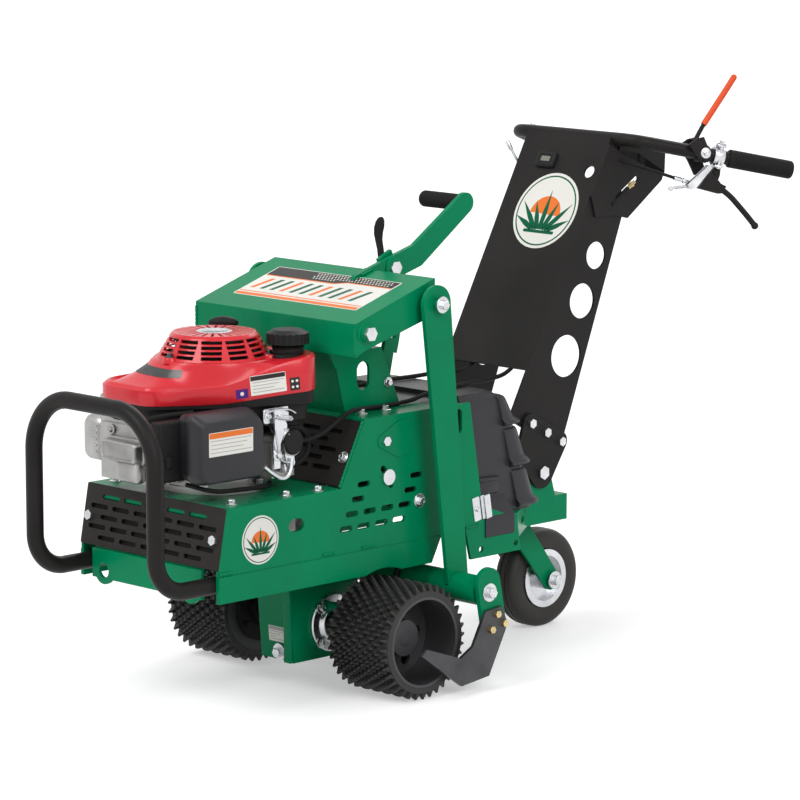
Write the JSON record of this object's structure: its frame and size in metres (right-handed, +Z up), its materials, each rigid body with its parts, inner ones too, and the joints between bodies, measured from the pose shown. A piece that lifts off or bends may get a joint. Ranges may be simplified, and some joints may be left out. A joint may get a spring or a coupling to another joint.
{
  "type": "sod cutter",
  "caption": "Walk-behind sod cutter with lugged drive drums, a rocking U blade on a lever-set depth head, petrol engine, tubular bumper, rear caster and upright handle.",
  "frame": {"origin": "on the ground, below the middle of the whole machine", "axes": "+X forward, +Y to the operator's left, +Z up"},
  "size_m": [1.4708, 0.6332, 1.0356],
  "materials": {
    "green_paint": "glossy powder coat",
    "black_paint": "satin powder coat",
    "dark_plastic": "fine moulded grain",
    "red_plastic": "glossy",
    "orange_plastic": "dipped coating",
    "cast_aluminium": "die cast",
    "zinc_steel": "zinc plated",
    "dark_steel": "oiled",
    "soft_rubber": "matt",
    "tread_rubber": "matt"
  },
  "bodies": {
    "frame": {"side_plate_left": "green_paint", "side_plate_right": "green_paint", "engine_deck": "green_paint", "front_crossplate": "green_paint", "front_guard": "black_paint", "bumper_bar": "black_paint", "rear_guard": "black_paint", "rear_deck": "green_paint", "tower": "green_paint", "depth_quadrant": "green_paint", "rear_frames": "green_paint", "caster_bracket": "green_paint", "rear_cover": "dark_plastic", "handle_feet": "black_paint", "handle_column": "black_paint", "handlebar": "black_paint", "handlebar_grips": "soft_rubber", "control_bracket": "black_paint", "hour_meter": "dark_plastic", "lever_clamps": "zinc_steel", "engine_block": "cast_aluminium", "valve_cover": "cast_aluminium", "muffler": "zinc_steel", "air_cleaner": "dark_plastic", "carburettor": "cast_aluminium", "fuel_tank": "dark_plastic", "engine_shroud": "red_plastic", "recoil_cover": "red_plastic", "chain_case": "green_paint", "hydro_pump": "cast_aluminium", "drive_belt": "soft_rubber", "frame_bolts": "zinc_steel", "control_cables": "soft_rubber"},
    "crank": {"crankshaft": "dark_steel", "flywheel_fan": "cast_aluminium", "drive_pulley": "dark_steel"},
    "pump": {"pump_pulley": "dark_steel"},
    "drive_drums": {"drive_axle": "dark_steel", "drums": "black_paint", "drum_treads": "tread_rubber", "hub_flanges": "black_paint"},
    "head": {"depth_head": "green_paint", "depth_lever": "green_paint", "lever_grip": "soft_rubber", "clamp_bolt": "zinc_steel"},
    "cam": {"cam_lever": "black_paint"},
    "lift": {"lift_links": "green_paint", "cross_tube": "green_paint"},
    "drag": {"drag_arms": "dark_steel"},
    "blade": {"rocker_shaft": "dark_steel", "blade_arms": "green_paint", "sod_blade": "dark_steel"},
    "caster": {"caster_fork": "green_paint"},
    "wheel": {"caster_rim": "zinc_steel", "caster_tyre": "tread_rubber"},
    "hand_left": {"hand_lever_left": "black_paint"},
    "hand_right": {"hand_lever_right": "black_paint"},
    "drive_control": {"drive_lever": "orange_plastic"},
    "cap": {"fuel_cap": "dark_plastic"},
    "starter": {"starter_grip": "dark_plastic"}
  },
  "joints": [
    {"name": "drive_spin", "type": "hinge", "parent": "frame", "child": "drive_drums", "pos_m": [0.21439, 0, 0.102], "axis": [0, 1, 0], "continuous": true},
    {"name": "crank_spin", "type": "hinge", "parent": "frame", "child": "crank", "pos_m": [0.44639, 0, 0.372], "axis": [0, 0, 1], "continuous": true},
    {"name": "pump_spin", "type": "hinge", "parent": "frame", "child": "pump", "pos_m": [0.25439, 0, 0.33], "axis": [0, 0, 1], "continuous": true},
    {"name": "head_tilt", "type": "hinge", "parent": "frame", "child": "head", "pos_m": [0.28239, 0, 0.642], "axis": [0, 1, 0], "range_deg": [-30, 0]},
    {"name": "lift_swing", "type": "hinge", "parent": "head", "child": "lift", "pos_m": [0.13039, 0, 0.68], "axis": [0, 1, 0], "range_deg": [0, 30]},
    {"name": "drag_swing", "type": "hinge", "parent": "frame", "child": "drag", "pos_m": [0.22839, 0, 0.135], "axis": [0, 1, 0], "range_deg": [-30, 0]},
    {"name": "blade_rock", "type": "hinge", "parent": "lift", "child": "blade", "pos_m": [0.07639, 0, 0.173], "axis": [0, 1, 0], "range_deg": [-4, 4]},
    {"name": "cam_turn", "type": "hinge", "parent": "head", "child": "cam", "pos_m": [0.06239, 0.0195, 0.721], "axis": [1, 0, 0], "range_deg": [0, 95]},
    {"name": "caster_swivel", "type": "hinge", "parent": "frame", "child": "caster", "pos_m": [-0.28361, 0, 0.24], "axis": [0, 0, 1], "continuous": true},
    {"name": "caster_roll", "type": "hinge", "parent": "caster", "child": "wheel", "pos_m": [-0.36061, 0, 0.093], "axis": [0, 1, 0], "continuous": true},
    {"name": "left_squeeze", "type": "hinge", "parent": "frame", "child": "hand_left", "pos_m": [-0.59275, 0.22951, 0.85604], "axis": [0.472, 0.8746, 0.1107], "range_deg": [0, 25], "stiffness_Nm_per_rad": 0.8},
    {"name": "right_squeeze", "type": "hinge", "parent": "frame", "child": "hand_right", "pos_m": [-0.59275, -0.22951, 0.85604], "axis": [-0.472, 0.8746, -0.1107], "range_deg": [0, 25], "stiffness_Nm_per_rad": 0.8},
    {"name": "drive_select", "type": "hinge", "parent": "frame", "child": "drive_control", "pos_m": [-0.58652, 0.18776, 0.88832], "axis": [-0.472, -0.8746, -0.1107], "range_deg": [0, 45]},
    {"name": "cap_turn", "type": "hinge", "parent": "frame", "child": "cap", "pos_m": [0.37039, 0.104, 0.636], "axis": [0, 0, 1], "range_deg": [0, 90]},
    {"name": "starter_pull", "type": "slide", "parent": "frame", "child": "starter", "axis": [0, 0, 1], "range_m": [0, 0.05], "stiffness_N_per_m": 60}
  ],
  "couplings": [
    {"joint": "pump_spin", "follows": "crank_spin", "ratio": 0.73469},
    {"joint": "lift_swing", "follows": "head_tilt", "ratio": -1},
    {"joint": "drag_swing", "follows": "head_tilt", "ratio": 1}
  ]
}
